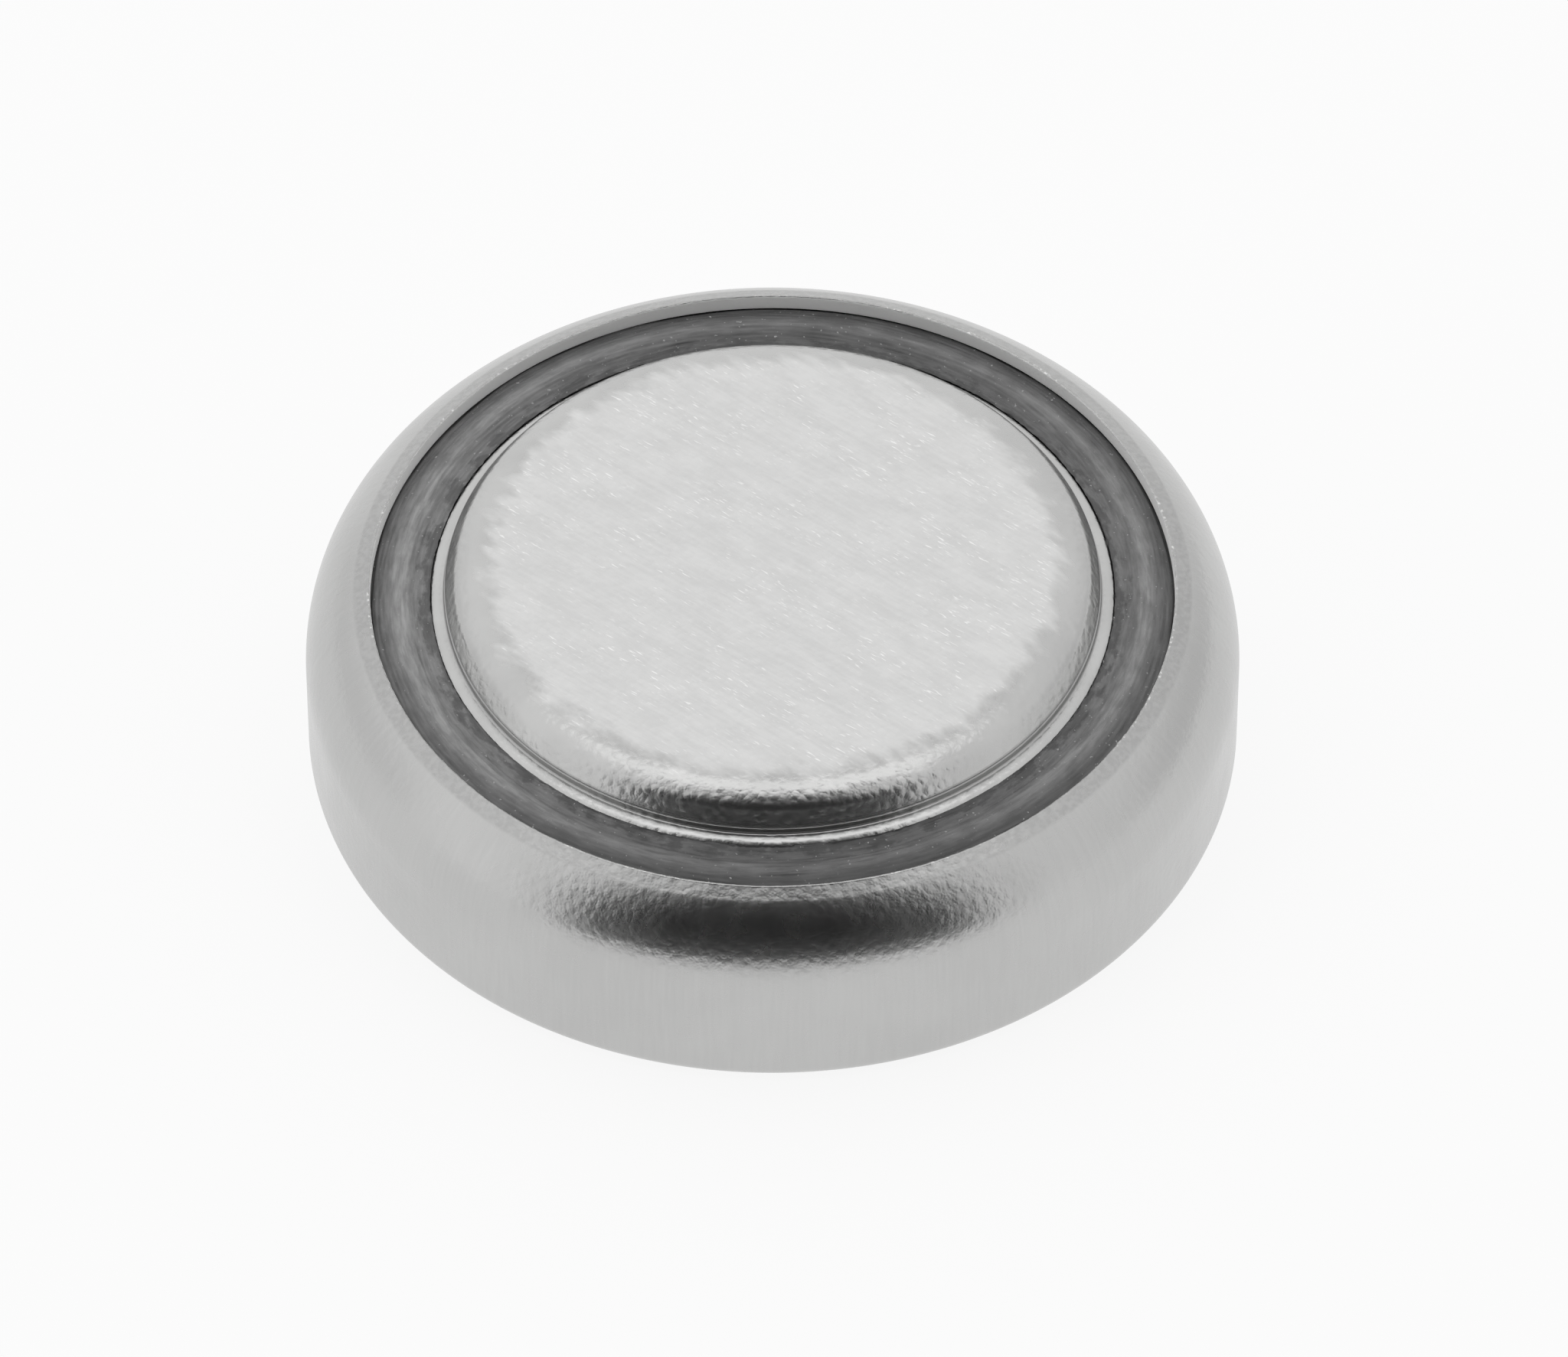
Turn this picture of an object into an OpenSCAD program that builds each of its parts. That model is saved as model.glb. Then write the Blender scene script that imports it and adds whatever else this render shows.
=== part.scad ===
// Alkaline button cell, 11.6 mm across: a drawn can crimped over a nylon gasket
// and a stepped cap, with the pellet, the separator and the zinc gel inside.
// Millimetres. The cell stands on the can's flat base, cap upwards, and the
// origin is the centre of that base. Every piece is one turned section: the
// sections below are drawn in the (radius, height) half plane.

/* [Cell] */
// Outside diameter of the can
can_d = 11.6; // [11.3:0.05:12.6]
// Overall height, from the base to the flat of the cap
cell_h = 3.05; // [2.95:0.05:5.4]

/* [Can] */
// Thickness of the can's sheet
can_t = 0.2; // [0.15:0.01:0.24]
// Outside radius of the corner round the base
base_r = 0.22; // [0.12:0.01:0.3]
// Outside radius of the curl that the crimping die turns over
curl_r = 1.37; // [1.2:0.01:1.45]
// Angle through which the wall is curled before the flattened land
curl_turn = 57; // [52:1:60]
// Distance in from the can's side to the lip's inner edge, past the curl and the flattened land
lip_w = 0.824; // [0.75:0.002:0.87]
// Slope of the land, falling outwards from the lip
land_slope = 27; // [20:1:30]
// Radius that the trimmed edge of the lip is worn to
lip_round = 0.025; // [0.01:0.005:0.04]

/* [Cap] */
// Thickness of the cap's clad sheet
cap_t = 0.18; // [0.14:0.01:0.18]
// Height by which the flat of the cap stands above the can's lip
cap_stand = 0.39; // [0.3:0.01:0.5]
// Distance from the lip in to the cap's collar, across the ring of gasket that shows
ring_w = 0.676; // [0.5:0.002:0.8]
// Large radius that leaves the flat of the cap
crown_r = 0.85; // [0.75:0.01:0.95]
// Small radius between the crown and the dome's flank
corner_r = 0.25; // [0.22:0.01:0.32]
// Length of the dome's straight flank, down its slope
flank_l = 0.2125; // [0.15:0.0125:0.25]
// Radius of the witness line that the drawing die leaves at the dome's foot
witness_r = 0.02; // [0.01:0.005:0.03]
// Height of the small wall from the dome's foot down to the ledge
step_h = 0.1; // [0.07:0.01:0.14]
// Radius of the hollow corner between that wall and the ledge
step_fillet = 0.03; // [0.02:0.005:0.04]
// Width of the flat of the ledge, outside the hollow corner
ledge_w = 0.01; // [0.01:0.01:0.1]
// Outside radius of the bend at the ledge's rim
ledge_r = 0.2; // [0.2:0.01:0.24]
// Radius of the hollow corner above the buried shoulder
shoulder_fillet = 0.08; // [0.04:0.01:0.12]
// Outside radius of the buried shoulder
shoulder_r = 0.35; // [0.25:0.01:0.4]
// Gap left inside the folded rim
fold_gap = 0.04; // [0.02:0.01:0.06]
// Distance from the folded edge up to where the shoulder starts to bend
fold_drop = 0.2; // [0.1:0.01:0.3]

/* [Gasket] */
// Thickness of the gasket between the can's wall and the folded rim
gasket_wall = 0.3; // [0.26:0.01:0.36]
// Thickness of the gasket's foot under the folded rim
gasket_foot = 0.3; // [0.2:0.01:0.4]
// Thickness of the gasket pinched between the lip and the cap's shoulder
gasket_pinch = 0.34; // [0.3:0.01:0.4]
// Thickness of the gasket's upstand inside the cap
upstand_t = 0.24; // [0.15:0.01:0.3]
// Distance from the lip in to the crown of the ring that shows
bulge_in = 0.32; // [0.26:0.002:0.34]
// Height of that crown above the bottom edge of the lip
bulge_h = 0.076; // [0.066:0.002:0.1]
// Radius of the crown's arc across the ring
bulge_r = 0.8; // [0.7:0.05:1.2]

/* [Filling] */
// Height of the cathode pellet
pellet_h = 0.95; // [0.8:0.01:1.05]
// Chamfer round the pellet's edges
pellet_chamfer = 0.08; // [0.04:0.01:0.12]
// Thickness of the barrier film
film_t = 0.04; // [0.02:0.01:0.06]
// Thickness of the absorbent pad
pad_t = 0.25; // [0.15:0.01:0.3]

/* [Fits] */
// Clearance between pieces that seat on a round surface
seat_gap = 0.01; // [0.005:0.005:0.015]
// Gap that shows on each side of the gasket's ring
ring_gap = 0.0125; // [0.01:0.0005:0.02]

/* [Hidden] */
$fn = 144;

// Normals of the dome where its large radius gives way to the small one, and
// along its flank: sides of a 336, 527, 625 triangle, so every joint has whole
// figures and each arc runs smoothly into the next stretch
turn = [0.5376, 0.8432];
flank = [0.8432, 0.5376];

// Can
can_r = can_d / 2;
bore_r = can_r - can_t;
// Least radius left to the corner inside the base
least_r = 0.01;
inner_base_r = max(base_r - can_t, least_r);
lip_z = cell_h - cap_stand;
curl_centre_r = can_r - curl_r;
crease_r = curl_centre_r + curl_r * cos(curl_turn);
lip_r = can_r - lip_w;
lip_centre = [lip_r + lip_round, lip_z - lip_round];
land_start = lip_centre + lip_round * [sin(land_slope), cos(land_slope)];
crease_z = land_start[1] - (crease_r - land_start[0]) * tan(land_slope);
curl_z = crease_z - curl_r * sin(curl_turn);
// Bottom edge of the trimmed lip: the land's underside, drawn to the lip's face
inner_crease = [curl_centre_r, curl_z] + (curl_r - can_t) * [cos(curl_turn), sin(curl_turn)];
lip_foot_z = inner_crease[1] + (inner_crease[0] - lip_r) * tan(land_slope);

// Cap, from the collar inwards
collar_r = lip_r - ring_w;
ledge_end_r = collar_r - ledge_r;
dome_r = ledge_end_r - ledge_w - step_fillet;
flat_r = dome_r - turn[0] * crown_r - (flank[0] - turn[0]) * corner_r - flank[1] * flank_l;
crown_centre = [flat_r, cell_h - crown_r];
corner_centre = crown_centre + (crown_r - corner_r) * turn;
dome_foot_z = corner_centre[1] + flank[1] * corner_r - flank[0] * flank_l;
ledge_z = dome_foot_z - step_h;
shoulder_z = lip_foot_z - gasket_pinch;
fold_r = bore_r - gasket_wall;
skirt_r = fold_r - cap_t - fold_gap;
fold_mid_r = skirt_r + fold_gap / 2;
fold_turn_r = cap_t + fold_gap / 2;
fold_z = can_t + gasket_foot + fold_turn_r;
shoulder_start_z = shoulder_z - shoulder_r;
fold_top_z = shoulder_start_z - fold_drop;

// Gasket and filling
foot_out_r = bore_r - seat_gap;
foot_corner_r = inner_base_r + seat_gap;
ring_in_r = collar_r + ring_gap;
ring_out_r = lip_r - ring_gap;
bulge_centre = [lip_r - bulge_in, lip_foot_z + bulge_h - bulge_r];
upstand_out_r = skirt_r - cap_t - seat_gap;
upstand_in_r = upstand_out_r - upstand_t;
pellet_r = upstand_in_r - seat_gap;
film_z = can_t + pellet_h;
pad_z = film_z + film_t;
gel_z = pad_z + pad_t;

// A length past every piece, for the blanks that are cut back
far = can_d;

// Rectangle between two corners of the section
module block(low, high) {
    translate(low) square(high - low);
}

// Part of the half plane above a line through p that falls outwards by slope
module above(p, slope) {
    translate(p) rotate(-slope) translate([-far, 0]) square([2 * far, far]);
}

// Disc about a centre
module disc(centre, r) {
    translate(centre) circle(r = r);
}

// Filled hollow corner: the square beside centre less the disc about it
module hollow_corner(centre, r) {
    difference() {
        block(centre - [r, r], centre);
        disc(centre, r);
    }
}

// Region inside the can's outer surface, shrunk by inset all round
module can_outline(inset) {
    corner = max(base_r - inset, least_r);
    difference() {
        union() {
            block([0, inset + corner], [can_r - inset, curl_z]);
            block([0, inset], [can_r - inset - corner, curl_z]);
            disc([can_r - inset - corner, inset + corner], corner);
            disc([curl_centre_r, curl_z], curl_r - inset);
        }
        above(land_start - inset * [sin(land_slope), cos(land_slope)], land_slope);
    }
}

// What the lip's worn edge loses: its sharp corner less the rounding disc
module lip_corner() {
    difference() {
        polygon([
            lip_centre,
            [lip_r - lip_round, lip_centre[1]],
            [lip_r - lip_round, lip_z + lip_round],
            land_start + lip_round * [sin(land_slope), cos(land_slope)]
        ]);
        disc(lip_centre, lip_round);
    }
}

// Region under the cap's outer surface down to height low, shrunk by inset;
// a negative inset grows it
module cap_outline(inset, low) {
    // Foot of the flank, where the inset flank meets the inset wall below it
    foot_z = dome_foot_z - inset * (1 - flank[0]) / flank[1];
    block([0, low], [flat_r, cell_h - inset]);
    intersection() {
        disc(crown_centre, crown_r - inset);
        polygon([
            crown_centre,
            crown_centre + far * turn,
            crown_centre + [0, far]
        ]);
    }
    disc(corner_centre, corner_r - inset);
    polygon([
        [0, low],
        [dome_r - inset, low],
        [dome_r - inset, foot_z],
        corner_centre + (corner_r - inset) * flank,
        corner_centre
    ]);
    hollow_corner([dome_r + step_fillet, ledge_z + step_fillet], step_fillet + inset);
    block([0, low], [ledge_end_r, ledge_z - inset]);
    disc([ledge_end_r, ledge_z - ledge_r], ledge_r - inset);
    block([0, low], [collar_r - inset, ledge_z - ledge_r]);
    hollow_corner([collar_r + shoulder_fillet, shoulder_z + shoulder_fillet], shoulder_fillet + inset);
    block([0, low], [skirt_r - shoulder_r, shoulder_z - inset]);
    disc([skirt_r - shoulder_r, shoulder_start_z], shoulder_r - inset);
    block([0, low], [skirt_r - inset, shoulder_start_z]);
}

// Folded rim with its turn at the bottom, grown by gap
module fold_outline(gap) {
    block([skirt_r - cap_t - gap, fold_z], [fold_r + gap, fold_top_z + gap]);
    disc([fold_mid_r, fold_z], fold_turn_r + gap);
}

// Nickel-plated steel cup, its wall curled in over the gasket
module can() {
    color("gainsboro")
    rotate_extrude() difference() {
        can_outline(0);
        can_outline(can_t);
        block([0, can_t], [lip_r, far]);
        lip_corner();
    }
}

// Pressed disc of manganese dioxide and graphite on the floor of the can
module cathode_pellet() {
    color("dimgray")
    rotate_extrude() polygon([
        [0, can_t],
        [pellet_r - pellet_chamfer, can_t],
        [pellet_r, can_t + pellet_chamfer],
        [pellet_r, film_z - pellet_chamfer],
        [pellet_r - pellet_chamfer, film_z],
        [0, film_z]
    ]);
}

// Cellophane barrier on the pellet
module barrier_film() {
    color("lightsteelblue")
    translate([0, 0, film_z]) cylinder(r = pellet_r, h = film_t);
}

// Non-woven pad that holds the electrolyte
module absorbent_pad() {
    color("ivory")
    translate([0, 0, pad_z]) cylinder(r = pellet_r, h = pad_t);
}

// Zinc gel that fills the cap
module anode_gel() {
    color("slategray")
    rotate_extrude() intersection() {
        cap_outline(cap_t + seat_gap, gel_z);
        block([0, gel_z], [can_r, cell_h]);
    }
}

// Nylon ring: foot, upstand, wall and the ring that shows inside the lip
module gasket() {
    color("gray")
    rotate_extrude() difference() {
        union() {
            // Foot under the folded rim, and upstand inside the cap
            block([upstand_in_r, can_t], [foot_out_r - foot_corner_r, fold_z]);
            block([upstand_in_r, can_t + foot_corner_r], [foot_out_r, fold_z]);
            disc([foot_out_r - foot_corner_r, can_t + foot_corner_r], foot_corner_r);
            block([upstand_in_r, can_t], [upstand_out_r, gel_z]);
            // Wall and curl, against the can and outside the cap
            difference() {
                union() {
                    intersection() {
                        can_outline(can_t + seat_gap);
                        block([bulge_centre[0], fold_z], [can_r, lip_foot_z - seat_gap]);
                    }
                    intersection() {
                        disc(bulge_centre, bulge_r);
                        block([ring_in_r, shoulder_z], [ring_out_r, lip_z]);
                    }
                }
                cap_outline(-seat_gap, fold_z);
            }
        }
        fold_outline(seat_gap);
    }
}

// Clad steel cap: dome, step, ledge, buried shoulder and folded rim
module anode_cap() {
    color("silver")
    rotate_extrude() difference() {
        union() {
            difference() {
                cap_outline(0, fold_z);
                cap_outline(cap_t, 0);
            }
            difference() {
                fold_outline(0);
                block([skirt_r, fold_z], [skirt_r + fold_gap, far]);
                disc([fold_mid_r, fold_z], fold_gap / 2);
            }
        }
        disc([dome_r, dome_foot_z], witness_r);
    }
}

can();
cathode_pellet();
barrier_film();
absorbent_pad();
anode_gel();
gasket();
anode_cap();
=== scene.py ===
"""Looks of a crimped alkaline button cell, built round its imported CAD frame.

Lengths are metres in the frame of the CAD model: +Z up, and the origin at the centre of the can's base.
Every shown piece is a turned section, so each shape is a function of two parameters: how far along the
section, and the angle about the axis. Run as a script, the file makes the pieces, their finishes and the
stage, in the order of its panel.
"""

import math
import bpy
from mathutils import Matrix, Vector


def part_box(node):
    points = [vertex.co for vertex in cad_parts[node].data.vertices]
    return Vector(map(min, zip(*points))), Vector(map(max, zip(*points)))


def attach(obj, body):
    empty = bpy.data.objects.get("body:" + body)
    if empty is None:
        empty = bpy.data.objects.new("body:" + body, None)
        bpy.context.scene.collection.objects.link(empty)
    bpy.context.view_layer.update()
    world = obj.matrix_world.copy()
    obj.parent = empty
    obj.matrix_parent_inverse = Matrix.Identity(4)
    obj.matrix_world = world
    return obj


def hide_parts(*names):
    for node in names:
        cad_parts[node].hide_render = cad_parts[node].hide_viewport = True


bl_info = {
    "name": "Button Cell Looks",
    "version": (1, 0, 0),
    "blender": (4, 5, 0),
    "location": "3D View > Sidebar > Button Cell",
    "description": "Builds the can, gasket, cap, finishes and stage of a crimped alkaline button cell",
    "category": "Object",
}

from types import SimpleNamespace

import bmesh
import bpy
import numpy as np
from bpy.props import FloatProperty, FloatVectorProperty, IntProperty, PointerProperty
from bpy.types import Operator, Panel, PropertyGroup
from mathutils import Vector

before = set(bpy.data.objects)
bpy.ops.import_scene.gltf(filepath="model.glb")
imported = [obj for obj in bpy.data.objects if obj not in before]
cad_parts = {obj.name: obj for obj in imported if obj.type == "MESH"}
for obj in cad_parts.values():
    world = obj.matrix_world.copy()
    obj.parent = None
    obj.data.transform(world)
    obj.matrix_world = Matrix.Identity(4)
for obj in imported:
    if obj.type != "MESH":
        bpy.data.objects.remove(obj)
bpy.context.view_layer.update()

MM = 0.001
CAN_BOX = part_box("can")
GASKET_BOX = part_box("gasket")
GEL_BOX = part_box("anode_gel")
CAP_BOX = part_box("anode_cap")
# Normals of the dome where its large radius gives way to the small one, and along its flank, in degrees.
# They are mirror images about 45 degrees, with a slope that is a ratio of whole numbers.
STEEP, SHALLOW = 527, 336
DOME_TURN = math.degrees(math.atan2(STEEP, SHALLOW))
FLANK_TURN = math.degrees(math.atan2(SHALLOW, STEEP))
# Steps of the can's inner side past the rim's crease: curl, wall, corner and floor
INNER_STEPS = (12, 2, 3, 2)


def millimetres(**lengths):
    """Named lengths, given in millimetres and kept in metres."""
    return SimpleNamespace(**{name: value * MM for name, value in lengths.items()})


GRAIN = millimetres(
    plate_drift=0.12,
    plate_pebbles=0.11,
    plate_grain=0.03,
    can_streaks=0.05,
    can_clouds=1.6,
    land_scuffs=0.07,
    lip_glints=0.05,
    glint_patches=0.7,
    lip_tears=0.05,
    satin=0.5,
    brush_lines=0.06,
    brush_strokes=0.2,
    brush_flecks=0.022,
    fleck_patches=0.6,
    cap_clouds=0.8,
    flat_blotches=0.3,
    nylon_marks=0.05,
    nylon_clouds=0.35,
    nylon_tears=0.16,
    nylon_specks=0.045,
    nylon_skin=0.06,
    cathode=0.05,
    gel=0.09,
    film_wrinkles=1.2,
    pad_fibres=0.04,
)
DEPTH = millimetres(
    can_pebbles=0.0016,
    cap_pebbles=0.0031,
    plate_grain=0.001,
    can_streaks=0.0003,
    lip_tears=0.005,
    brush_lines=0.0008,
    nylon_skin=0.004,
    film_wrinkles=0.02,
    pad_fibres=0.02,
    land_waves=0.001,
    lip_nicks=0.0012,
    ring_ridges=0.003,
    ring_tears=0.008,
    ring_sink=0.015,
    ring_shown=0.14,
)


def length(name, description, millimetres):
    """A length in the sidebar, given in millimetres and kept in metres."""
    return FloatProperty(
        name=name,
        description=description,
        default=millimetres * MM,
        min=0.0,
        precision=6,
        unit="LENGTH",
        subtype="DISTANCE",
    )


def degrees(name, description, value):
    """An angle in the sidebar, given in degrees and kept in radians."""
    return FloatProperty(
        name=name,
        description=description,
        default=math.radians(value),
        unit="ROTATION",
        subtype="ANGLE",
    )


def colour(name, description, value):
    """A colour in the sidebar, as linear red, green and blue."""
    return FloatVectorProperty(
        name=name,
        description=description,
        default=value,
        size=3,
        min=0.0,
        max=1.0,
        subtype="COLOR",
    )


class CellSizes(PropertyGroup):
    """Sizes of the shown pieces. Outside measures come from the CAD boxes."""

    can_r: length("Can radius", "Outside radius of the can", CAN_BOX[1].x / MM)
    lip_z: length("Lip height", "Top of the can's lip", CAN_BOX[1].z / MM)
    can_t: length("Can sheet", "Thickness of the can's sheet", 0.2)
    base_r: length("Base corner", "Outside radius of the corner round the base", 0.22)
    curl_r: length("Curl radius", "Outside radius of the curled rim", 1.37)
    curl_turn: degrees("Curl angle", "Angle through which the wall is curled", 57)
    lip_w: length("Lip width", "Distance in from the can's side to the lip's inner edge", 0.824)
    land_slope: degrees("Land slope", "Slope of the flattened land, falling outwards", 27)
    lip_round: length("Lip edge", "Radius of the worn edge of the lip", 0.025)

    cell_h: length("Cell height", "Height of the cap's flat", CAP_BOX[1].z / MM)
    fold_r: length("Fold radius", "Outside radius of the cap's folded rim", CAP_BOX[1].x / MM)
    fold_foot: length("Fold foot", "Lowest point of the folded rim", CAP_BOX[0].z / MM)
    cap_t: length("Cap sheet", "Thickness of the cap's clad sheet", 0.18)
    ring_w: length("Ring width", "Distance from the lip in to the cap's collar", 0.676)
    crown_r: length("Crown radius", "Large radius that leaves the flat of the cap", 0.85)
    corner_r: length("Dome corner", "Small radius between the crown and the dome's flank", 0.25)
    flank_l: length("Flank", "Length of the dome's straight flank, down its slope", 0.2125)
    witness_r: length("Witness line", "Radius of the line at the dome's foot", 0.02)
    step_h: length("Step height", "Height of the small wall above the ledge", 0.1)
    step_fillet: length("Step corner", "Radius of the hollow corner at the ledge", 0.03)
    ledge_w: length("Ledge flat", "Width of the flat of the ledge", 0.01)
    ledge_r: length("Ledge bend", "Outside radius of the bend at the ledge's rim", 0.2)
    shoulder_fillet: length("Shoulder corner", "Radius of the hollow corner above the shoulder", 0.08)
    shoulder_r: length("Shoulder bend", "Outside radius of the buried shoulder", 0.35)
    fold_gap: length("Fold gap", "Gap inside the folded rim", 0.04)
    fold_drop: length("Fold drop", "Distance from the folded edge up to the shoulder's bend", 0.2)

    pinch: length("Gasket pinch", "Gasket between the lip and the cap's shoulder", 0.34)
    upstand_t: length("Gasket upstand", "Thickness of the upstand inside the cap", 0.24)
    bulge_in: length("Crown offset", "Distance from the lip in to the crown of the ring", 0.32)
    bulge_r: length("Crown arc", "Radius of the crown's arc across the ring", 0.8)
    seat_gap: length("Seat gap", "Clearance between pieces that seat on each other", 0.01)
    ring_gap: length("Ring gap", "Gap that shows on each side of the gasket's ring", 0.0125)
    squeeze_turn: degrees("Squeezed edge", "How far up the ledge's bend the squeezed nylon reaches", 53)
    squeeze_w: length("Squeezed width", "Width of the nylon squeezed up between the ring and the ledge", 0.12)

    turns: IntProperty(
        name="Steps round",
        description="Number of steps round each turned piece",
        default=600,
        min=64,
        max=720,
    )


class CellFinishes(PropertyGroup):
    """Colours of the finishes, in linear light."""

    can_plate: colour("Can plate", "Satin nickel plate of the can", (0.52, 0.52, 0.515))
    cap_plate: colour("Cap plate", "Satin nickel plate of the dome and ledge", (0.53, 0.53, 0.525))
    cap_brushed: colour("Brushed flat", "Brushed flat of the cap", (0.69, 0.69, 0.685))
    nylon: colour("Nylon", "Grey nylon of the gasket", (0.13, 0.13, 0.13))
    cathode: colour("Cathode mix", "Pressed manganese dioxide and graphite", (0.035, 0.035, 0.036))
    film: colour("Barrier film", "Cellophane barrier", (0.62, 0.7, 0.74))
    pad: colour("Pad", "Wet non-woven felt", (0.74, 0.72, 0.66))
    gel: colour("Zinc gel", "Zinc powder in gel", (0.2, 0.21, 0.225))


class StageSizes(PropertyGroup):
    """Camera, lamps and floor."""

    view_elevation: degrees("View elevation", "Height of the camera above the horizon", 46.9)
    view_distance: length("View distance", "Distance from the camera to the middle of the lip", 150)
    lens: FloatProperty(
        name="Lens",
        description="Focal length of the camera",
        default=278.7,
        unit="CAMERA",
    )
    aim_right: FloatProperty(
        name="Aim right",
        description="How far right of the middle of the lip the camera aims",
        default=0.14 * MM,
        unit="LENGTH",
    )
    aim_up: FloatProperty(
        name="Aim up",
        description="How far above the middle of the lip the camera aims",
        default=-1.167 * MM,
        unit="LENGTH",
    )
    tent_half: length("Tent half width", "Distance from the cell to the dark front of the tent", 400)
    dark_half: length("Dark half width", "Half the width of the dark front", 400)
    dark_h: length("Dark height", "Height of the dark front above the floor", 2150)
    floor_r: length("Floor radius", "Radius of the round floor", 3000)
    floor_drop: length("Floor drop", "How far the floor lies under the can's base", 0.005)
    lamp_x: length("Lamp width", "Width of the lamp overhead", 380)
    lamp_y: length("Lamp depth", "Depth of the lamp overhead", 135)
    lamp_z: length("Lamp height", "Height of the lamp overhead", 400)
    lamp_back: length("Lamp offset", "How far behind the cell the lamp's middle is", 32)
    lamp_level: FloatProperty(
        name="Lamp level",
        description="Brightness that the lamp's face adds to the white of the tent, which is 1",
        default=0.5,
        min=0.0,
    )


# Sections


def arc(centre, radius, start, end, steps):
    """Points of an arc in the (radius, height) half plane.

    Centre plus radius times the cosine and sine of an angle that runs evenly from start to end, in degrees.
    """
    turn = np.radians(np.linspace(start, end, steps + 1))
    return np.column_stack((centre[0] + radius * np.cos(turn), centre[1] + radius * np.sin(turn)))


def straight(start, end, steps):
    """Points along a straight stretch: start plus an even share of the way to end."""
    share = np.linspace(0, 1, steps + 1)[:, None]
    return np.array(start) + share * (np.array(end) - np.array(start))


def section(*stretches):
    """One line of points from stretches that follow each other, without the points they repeat."""
    points = np.vstack(stretches)
    step = np.linalg.norm(np.diff(points, axis=0), axis=1)
    return points[np.append(True, step > 1e-9)]


class CanPlaces:
    """Places on the can's section that the gasket and the cap line up with."""

    def __init__(self, s):
        slope = (math.sin(s.land_slope), math.cos(s.land_slope))
        turn = (math.cos(s.curl_turn), math.sin(s.curl_turn))
        self.bore_r = s.can_r - s.can_t
        self.lip_r = s.can_r - s.lip_w
        self.lip_centre = (self.lip_r + s.lip_round, s.lip_z - s.lip_round)
        self.land_start = tuple(c + s.lip_round * d for c, d in zip(self.lip_centre, slope))
        crease_r = s.can_r - s.curl_r + s.curl_r * turn[0]
        crease_z = self.land_start[1] - (crease_r - self.land_start[0]) * math.tan(s.land_slope)
        self.crease = (crease_r, crease_z)
        self.curl = (s.can_r - s.curl_r, crease_z - s.curl_r * turn[1])
        self.inner_crease = tuple(c + (s.curl_r - s.can_t) * d for c, d in zip(self.curl, turn))
        rise = (self.inner_crease[0] - self.lip_r) * math.tan(s.land_slope)
        self.lip_foot = (self.lip_r, self.inner_crease[1] + rise)
        self.inner_base_r = s.base_r - s.can_t


class CapPlaces:
    """Centres and lines of the cap's section, from the lip inwards."""

    def __init__(self, s, can):
        collar_r = can.lip_r - s.ring_w
        ledge_end_r = collar_r - s.ledge_r
        self.collar_r = collar_r
        self.dome_r = ledge_end_r - s.ledge_w - s.step_fillet
        turn = (math.cos(math.radians(DOME_TURN)), math.sin(math.radians(DOME_TURN)))
        flank = (math.cos(math.radians(FLANK_TURN)), math.sin(math.radians(FLANK_TURN)))
        spread = turn[0] * s.crown_r + (flank[0] - turn[0]) * s.corner_r + flank[1] * s.flank_l
        self.flat_r = self.dome_r - spread
        self.crown = (self.flat_r, s.cell_h - s.crown_r)
        self.corner = tuple(c + (s.crown_r - s.corner_r) * d for c, d in zip(self.crown, turn))
        self.foot_z = self.corner[1] + flank[1] * s.corner_r - flank[0] * s.flank_l
        self.ledge_z = self.foot_z - s.step_h
        self.step = (self.dome_r + s.step_fillet, self.ledge_z + s.step_fillet)
        self.ledge = (ledge_end_r, self.ledge_z - s.ledge_r)
        self.shoulder_z = can.lip_foot[1] - s.pinch
        self.hollow = (collar_r + s.shoulder_fillet, self.shoulder_z + s.shoulder_fillet)
        self.skirt_r = s.fold_r - s.cap_t - s.fold_gap
        self.shoulder = (self.skirt_r - s.shoulder_r, self.shoulder_z - s.shoulder_r)
        self.fold_turn_r = s.cap_t + s.fold_gap / 2
        self.fold = (self.skirt_r + s.fold_gap / 2, s.fold_foot + self.fold_turn_r)
        self.fold_top = self.shoulder[1] - s.fold_drop


def can_section(s, can):
    """The can's section, from under the axis round the curl and the lip, and back along the inside."""
    turn = math.degrees(s.curl_turn)
    base = (s.can_r - s.base_r, s.base_r)
    inner_base = (can.bore_r - can.inner_base_r, s.can_t + can.inner_base_r)
    return section(
        straight((0, 0), (base[0], 0), 10),
        arc(base, s.base_r, -90, 0, 8),
        straight((s.can_r, base[1]), (s.can_r, can.curl[1]), 10),
        arc(can.curl, s.curl_r, 0, turn, 54),
        straight(can.crease, can.land_start, 10),
        arc(can.lip_centre, s.lip_round, 90 - math.degrees(s.land_slope), 180, 8),
        straight((can.lip_r, can.lip_centre[1]), can.lip_foot, 6),
        straight(can.lip_foot, can.inner_crease, 3),
        arc(can.curl, s.curl_r - s.can_t, turn, 0, INNER_STEPS[0]),
        straight((can.bore_r, can.curl[1]), (can.bore_r, inner_base[1]), INNER_STEPS[1]),
        arc(inner_base, can.inner_base_r, 0, -90, INNER_STEPS[2]),
        straight((inner_base[0], s.can_t), (0, s.can_t), INNER_STEPS[3]),
    )


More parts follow.
